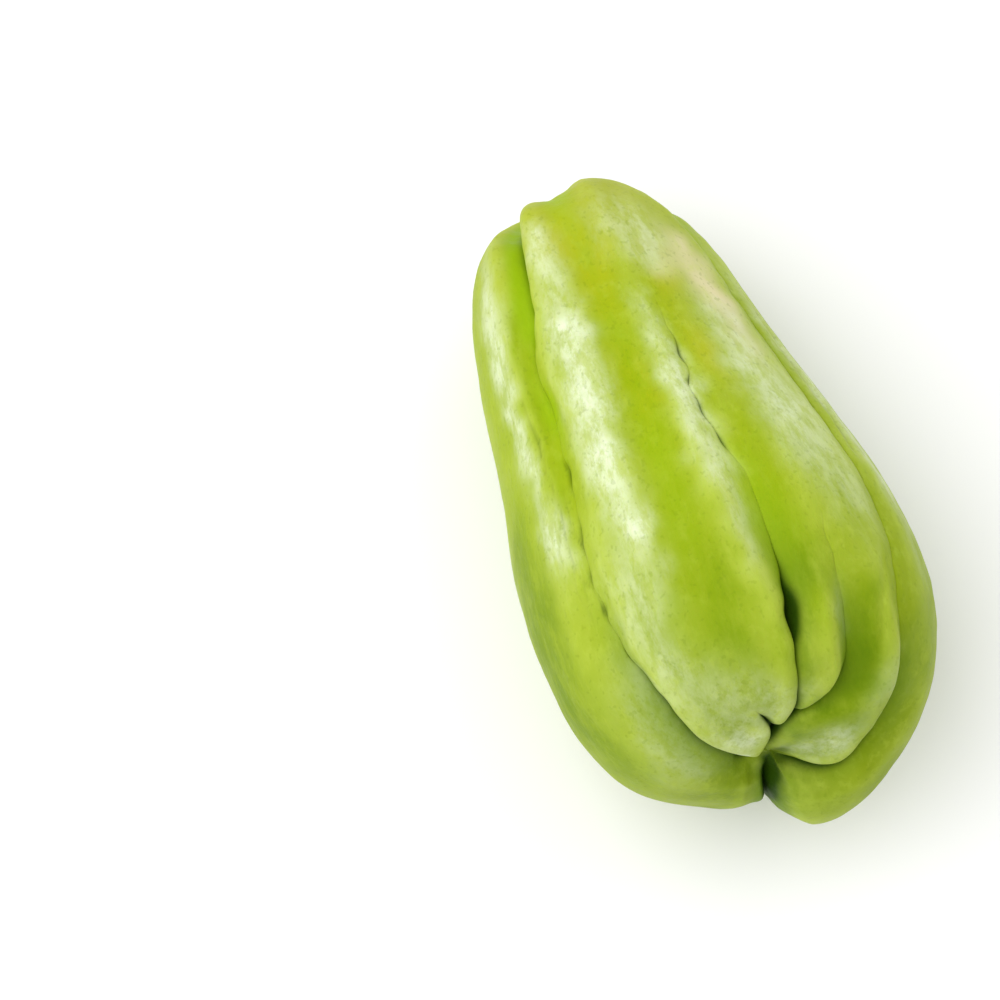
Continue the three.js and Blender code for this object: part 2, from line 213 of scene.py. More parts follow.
# How the fruit lies: the blossom end is raised by this pitch in degrees, and the flat spot is this deep.
PITCH = 8
FLAT_DEPTH = 0.6

# Furrows that are no further apart than the first run on as one, and from the second on they are parted.
JOINED_ROOM = 1
PARTED_ROOM = 4

# The least half width by which the room between two furrows is reckoned, at the very ends.
LEAST_HALF_WIDTH = 0.5

# The grid of the fine skin: rings along it, and columns between each furrow and the next.
RINGS = 300
RING_CROWDING = 0.35
COLUMNS = [44, 34, 34, 30, 46, 46, 62]
COLUMN_CROWDING = 0.75

# A ripple is a sum of plane waves, whose lengths are spread about the one that is asked for.
RIPPLE_WAVES = 24
RIPPLE_LENGTHS = (0.75, 1.35)

# Where each kind of ripple starts its random draws.
SWAY_SEED = 7
LUMP_SEED = 27
WRINKLE_SEED = 32
PATCH_ALONG_SEED = 37
PATCH_ACROSS_SEED = 38

# A furrow sways to the sides: how far and how far apart the sways are, the stretches along the skin where
# they set in and fade out, and the half width below which they grow no stronger.
PATH_SWAY = 0.35
PATH_SWAY_LENGTH = 9.0
SWAY_RISE = (15, 70)
SWAY_FALL = (160, 180)
SWAY_HALF_WIDTH = 5

# The size and height of the broad lumps, the small lumps and the pits of the skin, and how far from each
# end of the fruit they set in and are full.
SKIN_LUMPS = [(17, 0.16), (7.5, 0.07), (3.6, 0.03)]
LUMP_START = 3
LUMP_FULL = 14

# The dashes of a broken crease: the share of its depth that they add in their middles, how far the broken
# stretch takes to set in and to end, and the half width of the dark mark on each dash.
DASH_DEPTH = 0.8
BREAK_FADE = 4
DASH_HALF_WIDTH = 1.3

# Fine grooves beside the furrows: their path, their depth and their half width.
FINE_GROOVES = [
    {
        "path": [[80, 59], [96, 62], [112, 63], [140, 68]],
        "depth": [[80, 0], [92, 0.7], [128, 0.6], [140, 0]],
    },
    {"path": [[84, -48], [104, -48], [128, -51]], "depth": [[84, 0], [94, 0.45], [118, 0.5], [128, 0]]},
    {"path": [[30, 44], [44, 43], [64, 47]], "depth": [[30, 0], [40, 0.4], [52, 0.4], [64, 0]]},
]
FINE_GROOVE_WIDTH = 1.2

# Fine lengthwise wrinkles: how far apart, how drawn out, how deep, and how thin the lines are.
WRINKLE_SPACING = 3.4
WRINKLE_STRETCH = 5.0
WRINKLE_DEPTH = 0.28
WRINKLE_LINE = 0.3

# Marks on the skin, each a soft oval: its way along, angle, strength, half length and half width.

# Pale wax on the ridges, with a painted highlight in it.
WAX_AND_HIGHLIGHT_PATCHES = [
    (153, -22, 0.6, 6, 3), (144, -20, 0.55, 7, 3.5), (127, -21, 1.0, 9, 4), (112, -24, 1.0, 10, 4.2),
    (94, -26, 1.0, 11, 4), (80, -25, 0.6, 7, 3.5), (73, -23, 0.95, 5, 2.5), (62, -31, 0.4, 13, 7),
    (148, -57, 0.6, 10, 4), (132, -57, 0.8, 12, 3.4), (114, -57, 0.75, 10, 2.6), (104, -54, 0.7, 9, 1.6),
    (85, -53, 0.75, 8, 3.6), (120, 8, 0.5, 8, 2.6), (105, 6, 0.7, 8, 3.2), (93, 5, 0.5, 8, 3.2),
    (81, 4, 0.5, 8, 3), (68, 5, 0.3, 8, 2.6), (121, 36, 0.4, 8, 5), (108, 34, 0.55, 9, 5),
    (95, 35, 0.55, 9, 5.5), (84, 37, 0.35, 9, 5.5), (73, 38, 0.15, 8, 5), (146, 22, 0.35, 6, 5),
    (152, 16, 0.3, 10, 8), (13, -47, 0.8, 2.2, 1.8), (33, -22, 0.25, 9, 9), (27, 13, 0.15, 6, 4),
    (20, -31, 0.5, 6, 5), (45, -34, 0.3, 8, 4), (26, -4, 0.2, 5, 4), (12, 57, 0.6, 5, 5),
    (28, 52, 0.3, 8, 3), (108, 66, 0.6, 30, 3.5), (80, 68, 0.4, 20, 3.5), (94, 46, 0.35, 16, 4),
    (72, 46, 0.2, 12, 4), (42, 28, 0.35, 8, 1.6), (46, -46, 0.25, 8, 3), (38, -54, 0.25, 10, 5),
    (27, -66, 0.25, 7, 8), (100, -100, 0.45, 26, 8), (104, 95, 0.4, 24, 7), (92, 150, 0.4, 30, 9),
    (110, -150, 0.4, 26, 8),
]
# Greener bands in the hollows and beside the creases, partly painted shade, and a painted shadow on the
# left flank.
GREENER_AND_SHADE_PATCHES = [
    (157, -37, 0.9, 12, 2), (134, -44, 1.0, 12, 2.2), (114, -46, 0.8, 10, 1.8), (96, -45, 0.5, 8, 1.8),
    (148, -4, 0.5, 10, 3.5), (130, -6, 0.6, 9, 3), (112, -7, 0.9, 10, 3.2), (96, -9, 0.8, 10, 3.5),
    (76, -10, 1.0, 12, 5), (58, -10, 1.0, 13, 6), (46, -9, 0.9, 8, 4.5), (38, 4, 0.6, 7, 3),
    (52, -22, 0.6, 8, 4), (88, 18, 0.7, 10, 2.4), (74, 18, 0.9, 10, 3), (60, 19, 1.0, 10, 4),
    (46, 18, 0.8, 8, 4), (40, 37, 1.0, 10, 4), (26, 41, 0.9, 8, 4), (19, 27, 0.8, 5, 4),
    (97, -68, 0.5, 12, 3), (76, -68, 0.7, 14, 4), (58, -75, 0.6, 14, 8), (90, 120, 0.5, 40, 5),
    (90, 180, 0.5, 40, 7),
]
# Painted shade in darker green on the left flank, where it also stands for greener skin, under the small
# lobe and round the pucker.
SHADE_AND_DARK_GREEN_PATCHES = [
    (92, -74, 0.35, 12, 6), (80, -78, 0.6, 16, 9), (72, -66, 0.35, 10, 4), (60, -80, 0.6, 18, 10),
    (42, -84, 0.4, 16, 9), (56, 18, 0.7, 8, 3.5), (38, 12, 0.6, 8, 3), (38, 38, 0.85, 12, 4),
    (28, 43, 0.5, 8, 4), (20, 22, 0.9, 4, 5), (16, 0, 0.6, 4, 4), (58, -8, 0.35, 9, 4),
    (44, -10, 0.4, 8, 4), (30, 62, 0.5, 14, 4), (38, 76, 0.45, 16, 6), (11, 170, 0.4, 6, 8),
    (13, 194, 0.7, 8, 4), (14, -108, 0.3, 8, 8), (12, 12, 0.7, 3, 4),
]
# A yellow tint towards the stem end.
YELLOW_PATCHES = [
    (166, 0, 0.6, 20, 24), (152, -7, 0.9, 7, 4), (142, -3, 0.9, 8, 4), (134, -4, 0.6, 6, 3),
    (110, -7, 0.8, 8, 3), (136, 22, 0.7, 8, 4), (114, 20, 0.6, 9, 3),
]
# Dull beige at the upper right.
BEIGE_PATCHES = [
    (142, 38, 0.8, 7, 4), (131, 39, 1.0, 8, 4.5), (119, 40, 0.7, 8, 4), (140, 26, 0.4, 5, 4),
]
# Where the skin is finely wrinkled.
WRINKLED_PATCHES = [
    (104, -50, 0.8, 14, 5), (84, -49, 1.0, 14, 5), (66, -49, 0.7, 10, 4), (96, 16, 0.4, 16, 4),
]
# Where the walls of the cleft below the pucker shade each other.
SHADED_PATCHES = [(3, 200, 0.9, 4, 3), (8, 199, 0.9, 5, 2.6), (14, 197, 0.8, 5, 2.2), (4, 30, 0.8, 4, 3)]

# The edges of the marks waver lengthwise and sideways: how far, and how long the waves are. The shades in
# the cleft waver by a share of that.
WAVER_ALONG = 3.0
WAVER_ALONG_LENGTH = 13
WAVER_ACROSS = 1.1
WAVER_ACROSS_LENGTH = 8
SHADED_WAVER = 0.3

# The depths, in millimetres, at which the painted shade of a crease and the colour of a valley are full,
# how sharply a crease's painted shade darkens with its depth, and how dark the finer lines are beside it.
CREASE_FULL_DEPTH = 2
VALLEY_FULL_DEPTH = 3
CREASE_SHARPNESS = 1.3
WRINKLE_DARKNESS = 0.35
GROOVE_DARKNESS = 0.5
DASH_DARKNESS = 0.2
SHADED_DARKNESS = 0.8

# A ridge is skin that stands out over the skin so far to each side of it, at most a share of the way round.
# Its painted highlight starts where it stands out by a first height, in mm, and is full so much above that.
RIDGE_REACH = 4.5
RIDGE_REACH_SHARE = 0.25
RIDGE_START = 0.25
RIDGE_SPAN = 0.9

# Patterns of the skin: how drawn out lengthwise, the size of the blotches in millimetres, how many finer
# layers there are in them, and how strong those are.
CLOUDS = {"stretch": 1.6, "size": 22, "detail": 2, "roughness": 0.5}
STREAKS = {"stretch": 3.5, "size": 2.8, "detail": 5, "roughness": 0.72}
FLECKS = {"stretch": 1.2, "size": 1.1, "detail": 1, "roughness": 0.5}
MOTTLE = {"stretch": 1.6, "size": 2.4, "detail": 5, "roughness": 0.7}

# Where on a pattern or a channel a colour sets in, and where it is full.
GREEN_RANGE = (0.05, 0.5)
CLOUD_RANGE = (0.42, 0.62)
MOTTLE_RANGE = (0.46, 0.7)
FLECK_RANGE = (0.6, 0.72)
HOLLOW_RANGE = (0.2, 1.0)
BRIGHT_HOLLOW_RANGE = (0.2, 0.5)
CREASE_SHADE_RANGE = (0.1, 1.0)
SCAR_RANGE = (0.965, 0.985)
THINNING_RANGE = (0.35, 0.6)

# How strong a colour is where it is full.
CLOUD_STRENGTH = 0.25
RIDGE_HIGHLIGHT_STRENGTH = 0.4
MOTTLE_STRENGTH = 0.26
FLECK_STRENGTH = 0.22
HOLLOW_STRENGTH = 0.8
CREASE_SHADE_STRENGTH = 0.95

# How much of a patch is lost where the pattern over it is low.
YELLOW_THINNED_BY_CLOUDS = 0.3
WAX_AND_HIGHLIGHT_THINNED_BY_STREAKS = 0.6
WAX_AND_HIGHLIGHT_THINNED_BY_MOTTLE = 0.3
GREENER_AND_SHADE_THINNED_BY_STREAKS = 0.55
SHADE_AND_DARK_GREEN_THINNED_BY_STREAKS = 0.4
SCAR_THINNED_BY_MOTTLE = 0.4

# Waxy skin: its roughness and the range of the mottle that it follows, how far the patterns stand out in
# millimetres, a weak greenish shine, and a little light that passes through the flesh.
ROUGHNESS = (0.48, 0.64)
ROUGHNESS_RANGE = (0.3, 0.7)
MOTTLE_HEIGHT = 0.16
FLECK_HEIGHT = 0.06
SKIN_SETTINGS = {
    "IOR": 1.35,
    "Specular IOR Level": 0.3,
    "Specular Tint": (0.85, 1.0, 0.5, 1.0),
    "Subsurface Weight": 0.2,
    "Subsurface Radius": (0.6, 1.0, 0.2),
    "Subsurface Scale": 2 * MM,
}

# Places of the colour sockets on a mixing node, which are numbered because their names repeat.
MIX_FIRST = 6
MIX_SECOND = 7
MIX_RESULT = 2

# The floor, in metres, and the soft lights over it: where they are, their sides, and their power in watts.
FLOOR_SIDE = 4
FLOOR_COLOUR = (0.9, 0.9, 0.9, 1)
FLOOR_ROUGHNESS = 0.8
LIGHTS = {
    "key": {"position": (-0.85, 0.0, 1.25), "sides": (2.4, 1.8), "power": 24},
    "fill": {"position": (1.0, 0.3, 0.9), "sides": (1.6, 1.4), "power": 5},
}
LIGHT_TARGET = (0, 0, 0.03)
WORLD_COLOUR = (1, 1, 1, 1)
WORLD_STRENGTH = 0.7

# The photograph's camera: its direction from the fruit in degrees, its distance in millimetres, and what
# one millimetre at the fruit measures in the picture. The point on the fruit's axis that is so far from its
# start is seen at a given pixel.
CAMERA_AZIMUTH = -19.0
CAMERA_ELEVATION = 69.0
CAMERA_DISTANCE = 750.0
PIXELS_PER_MM = 4.70
PICTURE_SIDE = 1000
PICTURE_MIDDLE = (500, 500)
AXIS_MIDDLE = 75.0
AXIS_MIDDLE_PIXEL = (665, 476)
SENSOR_WIDTH = 36.0


def spline_table(points, steps):
    """A smooth curve through points, with the length of the curve up to each of its samples."""
    p = np.array(points, float)
    spans = len(p) - 1
    t = np.linspace(0, spans, steps)
    i = np.minimum(t.astype(int), spans - 1)
    w = (t - i)[:, None]
    before, here, there, after = p[np.maximum(i - 1, 0)], p[i], p[i + 1], p[np.minimum(i + 2, spans)]
    leave = (there - before) / 2
    arrive = (after - here) / 2
    curve = (
        (2 * here - 2 * there + leave + arrive) * w**3
        + (-3 * here + 3 * there - 2 * leave - arrive) * w**2
        + leave * w
        + here
    )
    lengths = np.concatenate([[0], np.cumsum(np.linalg.norm(np.diff(curve, axis=0), axis=1))])
    return lengths, curve


SECTION_LENGTHS, SECTION = spline_table(OUTLINE, OUTLINE_STEPS)
SKIN_LENGTH = SECTION_LENGTHS[-1]


def section_at(along):
    """Distance along the axis and half width, at a way along the skin."""
    distance = np.interp(along, SECTION_LENGTHS, SECTION[:, 0])
    half = np.interp(along, SECTION_LENGTHS, SECTION[:, 1])
    return distance, np.maximum(half, 0)


def through(stations, at):
    """A smooth curve through stations, level at both ends and at each station that is a high or a low."""
    x, y = np.array(stations, float).T
    slope = np.zeros_like(y)
    rising = (y[2:] - y[1:-1]) * (y[1:-1] - y[:-2]) > 0
    slope[1:-1] = np.where(rising, (y[2:] - y[:-2]) / (x[2:] - x[:-2]), 0)
    at = np.clip(at, x[0], x[-1])
    i = np.clip(np.searchsorted(x, at, side="right") - 1, 0, len(x) - 2)
    gap = x[i + 1] - x[i]
    t = (at - x[i]) / gap
    return (
        (2 * t**3 - 3 * t**2 + 1) * y[i]
        + (t**3 - 2 * t**2 + t) * gap * slope[i]
        + (3 * t**2 - 2 * t**3) * y[i + 1]
        + (t**3 - t**2) * gap * slope[i + 1]
    )


def smooth_step(low, high, value):
    """An eased climb from 0 at low to 1 at high."""
    t = np.clip((value - low) / (high - low), 0, 1)
    return t * t * (3 - 2 * t)


def rise_and_fall(along, rise, fall):
    """1 along the skin between two stretches: it climbs from 0 over the rise, and drops over the fall."""
    return smooth_step(*rise, along) * (1 - smooth_step(*fall, along))


def crowded(share, crowding):
    """Spread a share from 0 to 1 so that steps are short at both ends."""
    return share - crowding * np.sin(2 * np.pi * share) / (2 * np.pi)


def body_point(along, angle):
    """The plain body before any furrow."""
    distance, half = section_at(along)
    x = through(CENTRE_X, along) + half * np.sin(angle)
    z = through(CENTRE_Z, along) + half * through(DEPTH_OVER_WIDTH, along) * np.cos(angle)
    lean = END_LEAN * z * (1 - smooth_step(0, END_LEAN_REACH, along))
    return np.stack([x, distance + lean, z], -1)


def body_normal(along, angle):
    """The plain body's outward direction, from its points a little way off to each side."""
    step, turn = 0.05, 0.002
    inside = np.clip(along, step, SKIN_LENGTH - step)
    ahead = body_point(inside + step, angle) - body_point(inside - step, angle)
    round_ = body_point(inside, angle + turn) - body_point(inside, angle - turn)
    normal = unit(np.cross(round_, ahead))
    normal[along < step] = (0, -1, 0)
    normal[along > SKIN_LENGTH - step] = (0, 1, 0)
    return normal


def unit(vectors):
    """The vectors at length 1. Those of no length stay as they are."""
    least = 1e-12
    length = np.linalg.norm(vectors, axis=-1, keepdims=True)
    return vectors / np.maximum(length, least)


def valley_shape(share):
    """A soft trough: 1 at its bottom, level there and at its edge."""
    return np.clip(1 - share**2, 0, None) ** 2


def crease_shape(share):
    """A sharp groove: 1 at its bottom, where its two round walls meet, and level at its edge."""
    share = np.clip(share, 0, 1)
    return 1 - np.sqrt(share * (2 - share))


def tuck_shape(share):
    """How the slide of a crease dies away from its bottom."""
    return np.clip(1 - share, 0, 1) ** 4


def ripples(points, wavelength, seed):
    """Even bumps of one size, between about -1 and 1: a sum of plane waves in random directions."""
    rng = np.random.default_rng(seed)
    directions = unit(rng.normal(size=(RIPPLE_WAVES, points.shape[-1])))
    lengths = wavelength * rng.uniform(*RIPPLE_LENGTHS, RIPPLE_WAVES)
    phases = rng.uniform(0, 2 * np.pi, RIPPLE_WAVES)
    total = np.zeros(points.shape[:-1])
    for direction, length, phase in zip(directions, lengths, phases):
        total += np.sin(points @ direction * (2 * np.pi / length) + phase)
    return total / np.sqrt(2 * RIPPLE_WAVES)


def furrow_path(furrow, along):
    """The furrow's angle, with the small unevenness of a grown thing."""
    _, half = section_at(along)
    sway = ripples(along[..., None], PATH_SWAY_LENGTH, SWAY_SEED + FURROWS.index(furrow))
    fade = rise_and_fall(along, SWAY_RISE, SWAY_FALL)
    aside = PATH_SWAY * sway * fade / np.maximum(half, SWAY_HALF_WIDTH)
    return through(furrow["path"], along) + np.degrees(aside)


def breaks(furrow, along):
    """How a broken crease's depth comes and goes along it. It is 1 everywhere in an unbroken one."""
    if "broken" not in furrow:
        return 1
    broken = furrow["broken"]
    rise = (broken["from"] - BREAK_FADE, broken["from"] + BREAK_FADE)
    fall = (broken["to"] - BREAK_FADE, broken["to"] + BREAK_FADE)
    dashes = sum(valley_shape(np.minimum(abs(along - at) / half, 1)) for at, half in broken["dashes"])
    return 1 + rise_and_fall(along, rise, fall) * (broken["rest"] + DASH_DEPTH * dashes - 1)


def furrow_pull(furrow, side, along, distance, room):
    """What a furrow does to the skin at a distance to one side of it."""
    valley_share = distance / np.minimum(through(furrow[side], along), room)
    crease_share = distance / np.minimum(through(furrow["crease_width"], along), room)
    valley = through(furrow["valley_depth"], along) * valley_shape(valley_share)
    crease = through(furrow["crease_depth"], along) * crease_shape(crease_share) * breaks(furrow, along)
    slide = through(furrow["tuck"], along) * tuck_shape(crease_share)
    return {"valley": valley, "crease": crease, "slide": slide}


def swelling_height(swelling, points):
    """How far a swelling lifts the skin at each point."""
    centre = body_point(np.array(float(swelling["along"])), np.radians(float(swelling["angle"])))
    away = points - centre
    along = away[..., 1] / swelling["reach_along"]
    across = np.hypot(away[..., 0], away[..., 2]) / swelling["reach_across"]
    return swelling["height"] * np.exp(-(along**2) - across**2)


def join_where_close(pulls, first, second, along, share, room):
    """Where two furrows run close together, the skin between them sinks to their common bottom."""
    parted = smooth_step(JOINED_ROOM, PARTED_ROOM, room)
    for name in ("valley", "crease"):
        depths = [through(furrow[name + "_depth"], along) for furrow in (first, second)]
        bottoms = depths[0] + (depths[1] - depths[0]) * share
        pulls[name] = bottoms + (pulls[name] - bottoms) * parted


def sector(first, second, columns, along):
    """The skin from one furrow up to the next: rows follow the way along, columns go round."""
    share = crowded(np.arange(columns) / columns, COLUMN_CROWDING)[None, :]
    along = along[:, None]
    start = furrow_path(first, along)
    span = (furrow_path(second, along) - start) % 360
    angle = np.radians(start + span * share)
    _, half = section_at(along)
    room = np.radians(span) * np.maximum(half, LEAST_HALF_WIDTH)
    gone = room * share
    along = np.broadcast_to(along, angle.shape)
    near = furrow_pull(first, "valley_right", along, gone, room)
    far = furrow_pull(second, "valley_left", along, room - gone, room)
    pulls = {name: near[name] + np.where(share > 0, far[name], 0) for name in near}
    join_where_close(pulls, first, second, along, share, room)
    points = body_point(along, angle)
    height = sum(swelling_height(swelling, points) for swelling in SWELLINGS)
    height = height - pulls["valley"] - pulls["crease"]
    sideways = np.stack([np.cos(angle), np.zeros_like(angle), -np.sin(angle)], -1)
    points = points + height[..., None] * body_normal(along, angle) + pulls["slide"][..., None] * sideways
    return {
        "points": points,
        "along": along,
        "angle": angle,
        "valley": pulls["valley"],
        "crease": pulls["crease"],
    }


def whole_skin():
    """All the sectors side by side, as one closed grid."""
    along = SKIN_LENGTH * crowded(np.linspace(0, 1, RINGS + 1), RING_CROWDING)
    sectors = [
        sector(furrow, FURROWS[(k + 1) % len(FURROWS)], COLUMNS[k], along)
        for k, furrow in enumerate(FURROWS)
    ]
    return {name: np.concatenate([part[name] for part in sectors], axis=1) for name in sectors[0]}


def grid_normals(points):
    """The outward direction at each point of a closed grid."""
    round_ = np.roll(points, -1, axis=1) - np.roll(points, 1, axis=1)
    ahead = np.gradient(points, axis=0)
    normals = unit(np.cross(round_, ahead))
    normals[0] = (0, -1, 0)
    normals[-1] = (0, 1, 0)
    return normals


def across_from(skin, angle):
    """How far each point of the skin is to the right of an angle, in millimetres round the axis."""
    _, half = section_at(skin["along"])
    turn = (np.degrees(skin["angle"]) - angle + 180) % 360 - 180
    return np.radians(turn) * half


def covered_by(patches, skin, waver=1.0):
    """How strongly a set of marks covers each point, from 0 to 1, with edges that waver more or less."""
    points = skin["points"]
    shift_along = waver * WAVER_ALONG * ripples(points, WAVER_ALONG_LENGTH, PATCH_ALONG_SEED)
    shift_across = waver * WAVER_ACROSS * ripples(points, WAVER_ACROSS_LENGTH, PATCH_ACROSS_SEED)
    bare = np.ones(points.shape[:2])
    for along, angle, strength, half_length, half_width in patches:
        ahead = (skin["along"] + shift_along - along) / half_length
        aside = (across_from(skin, angle) + shift_across) / half_width
        bare = bare * (1 - strength * np.exp(-(ahead**2) - aside**2))
    return 1 - bare


def wrinkles(skin):
    """Thin lengthwise lines: where a stretched ripple passes through zero."""
    stretched = skin["points"] * (1, 1 / WRINKLE_STRETCH, 1)
    lines = 1 - smooth_step(0, WRINKLE_LINE, np.abs(ripples(stretched, WRINKLE_SPACING, WRINKLE_SEED)))
    return lines * covered_by(WRINKLED_PATCHES, skin)


def fine_grooves(skin):
    """Depth of the fine grooves that run beside the furrows."""
    total = np.zeros_like(skin["along"])
    for groove in FINE_GROOVES:
        away = np.abs(across_from(skin, through(groove["path"], skin["along"])))
        shape = valley_shape(np.minimum(away / FINE_GROOVE_WIDTH, 1))
        total += through(groove["depth"], skin["along"]) * shape
    return total


def dash_marks(skin):
    """Soft dark marks on the dashes of the broken creases."""
    marks = np.zeros_like(skin["along"])
    for furrow in FURROWS:
        if "broken" in furrow:
            aside = across_from(skin, furrow_path(furrow, skin["along"])) / DASH_HALF_WIDTH
            for at, half in furrow["broken"]["dashes"]:
                ahead = (skin["along"] - at) / half
                marks = np.maximum(marks, np.exp(-(ahead**2) - aside**2))
    return marks


def fine_relief(skin):
    """Heights of the small unevenness, which fades out towards both ends."""
    rise = (LUMP_START, LUMP_FULL)
    fall = (SKIN_LENGTH - LUMP_FULL, SKIN_LENGTH - LUMP_START)
    height = np.zeros_like(skin["along"])
    for number, (size, swing) in enumerate(SKIN_LUMPS):
        height += swing * ripples(skin["points"], size, LUMP_SEED + number)
    height -= WRINKLE_DEPTH * skin["wrinkles"] + skin["grooves"]
    return rise_and_fall(skin["along"], rise, fall) * height


def lie_down(points, offset):
    """From the fruit's own frame to the part's frame, in millimetres."""
    turned = points @ np.array(Matrix.Rotation(np.radians(-PITCH), 3, "X")).T
    return turned + offset


def lying_offset(points):
    """The shift that puts the lying fruit where the CAD model is, with its flat spot at the ground."""
    turned = lie_down(points, np.zeros(3)).reshape(-1, 3)
    low, high = turned.min(0), turned.max(0)
    middle = (low + high) / 2
    return np.array([-middle[0], -middle[1], -low[2] - FLAT_DEPTH])


def skin_mesh(points):
    """One closed mesh from the grid, with a single vertex at each pole."""
    rings, columns = points.shape[:2]
    inner = points[1:-1].reshape(-1, 3)
    vertices = np.vstack([points[0, :1], inner, points[-1, :1]]) * MM
    index = 1 + np.arange((rings - 2) * columns).reshape(rings - 2, columns)
    beside = np.roll(index, -1, axis=1)
    quads = np.stack([index[:-1], beside[:-1], beside[1:], index[1:]], -1).reshape(-1, 4)
    last = len(vertices) - 1
    start = np.stack([np.zeros(columns, int), beside[0], index[0]], -1)
    end = np.stack([np.full(columns, last), index[-1], beside[-1]], -1)
    mesh = bpy.data.meshes.new("chayote_skin")
    mesh.from_pydata(vertices.tolist(), [], quads.tolist() + start.tolist() + end.tolist())
    mesh.validate()
    mesh.shade_smooth()
    return mesh


def add_channel(mesh, name, values):
    """A number at each vertex, for the material to read."""
    each = np.concatenate([values[0, :1], values[1:-1].reshape(-1), values[-1, :1]])
    attribute = mesh.attributes.new(name, "FLOAT", "POINT")
    attribute.data.foreach_set("value", each.astype(np.float32))


def ridges(skin):
    """How much the skin stands out over its neighbours to the left and right, in millimetres."""
    points = skin["points"]
    columns = points.shape[1]
    normals = grid_normals(points)
    result = np.zeros(points.shape[:2])
    for ring in range(1, points.shape[0] - 1):
        loop = np.vstack([points[ring]] * 3)
        way = np.concatenate([[0], np.cumsum(np.linalg.norm(np.diff(loop, axis=0), axis=1))])
        here = way[columns : 2 * columns]
        reach = min(RIDGE_REACH, (here[-1] - here[0]) * RIDGE_REACH_SHARE)
        beside = [
            np.stack([np.interp(here + step, way, loop[:, axis]) for axis in range(3)], -1)
            for step in (-reach, reach)
        ]
        result[ring] = ((points[ring] - (beside[0] + beside[1]) / 2) * normals[ring]).sum(-1)
    return result


def line_darkness(skin):
    """Painted shade in the creases, and the finer dark lines and shades with them."""
    line = (skin["crease"] / CREASE_FULL_DEPTH) ** CREASE_SHARPNESS
    line = line + skin["wrinkles"] * WRINKLE_DARKNESS + skin["grooves"] * GROOVE_DARKNESS
    line += DASH_DARKNESS * dash_marks(skin)
    return line + SHADED_DARKNESS * covered_by(SHADED_PATCHES, skin, SHADED_WAVER)


def colour_channels(skin):
    """What the material paints by, each from 0 to 1."""
    return {
        "wax_and_highlight": covered_by(WAX_AND_HIGHLIGHT_PATCHES, skin),
        "greener_and_shade": covered_by(GREENER_AND_SHADE_PATCHES, skin),
        "shade_and_dark_green": covered_by(SHADE_AND_DARK_GREEN_PATCHES, skin),
        "yellow": covered_by(YELLOW_PATCHES, skin),
        "beige": covered_by(BEIGE_PATCHES, skin),
        "hollow": np.clip(skin["valley"] / VALLEY_FULL_DEPTH, 0, 1),
        # Painted shade in the creases and along the finer lines.
        "crease": np.clip(line_darkness(skin), 0, 1),
        # Painted highlight on the ridges.
        "ridge_highlight": np.clip((ridges(skin) - RIDGE_START) / RIDGE_SPAN, 0, 1),
        "along": skin["along"] / SKIN_LENGTH,
    }


def make_fruit():
    """The fruit's mesh with its colour channels, and the shift that lays it on the ground."""
    skin = whole_skin()
    skin["wrinkles"] = wrinkles(skin)
    skin["grooves"] = fine_grooves(skin)
    offset = lying_offset(skin["points"])
    points = skin["points"] + fine_relief(skin)[..., None] * grid_normals(skin["points"])
    points = lie_down(points, offset)
    # The ground presses the flat spot.
    points[..., 2] = np.maximum(points[..., 2], 0)
    mesh = skin_mesh(points)
    for name, values in colour_channels(skin).items():
        add_channel(mesh, name, values)
    fruit = bpy.data.objects.new("chayote_skin", mesh)
    bpy.context.scene.collection.objects.link(fruit)
    return fruit, offset


def srgb(red, green, blue):
    """A colour given as it looks on a screen, from 0 to 255, as the shader wants it."""
    share = np.array((red, green, blue)) / 255
    linear = np.where(share <= 0.04045, share / 12.92, ((share + 0.055) / 1.055) ** 2.4)
    return (*linear, 1.0)


# Plain skin, and the same darkened towards the blossom end, as painted shade.
GREEN = srgb(148, 168, 14)
SHADED_END_GREEN = srgb(126, 146, 10)

# The marks on the skin, with painted highlight and painted shade among them.
WAX_AND_HIGHLIGHT = srgb(226, 234, 208)
GREENER_AND_SHADE = srgb(138, 162, 0)
SHADE_AND_DARK_GREEN = srgb(92, 122, 0)
YELLOW = srgb(172, 172, 8)
BEIGE = srgb(212, 204, 156)
FLECK = srgb(102, 126, 6)
SCAR = srgb(112, 90, 54)

# Lighter green, which is a painted highlight on the ridges; bright green in valleys; painted shade in
# creases.
LIGHT_GREEN_AND_HIGHLIGHT = srgb(184, 200, 78)
HOLLOW = srgb(150, 184, 0)
CREASE_SHADE = srgb(34, 66, 0)


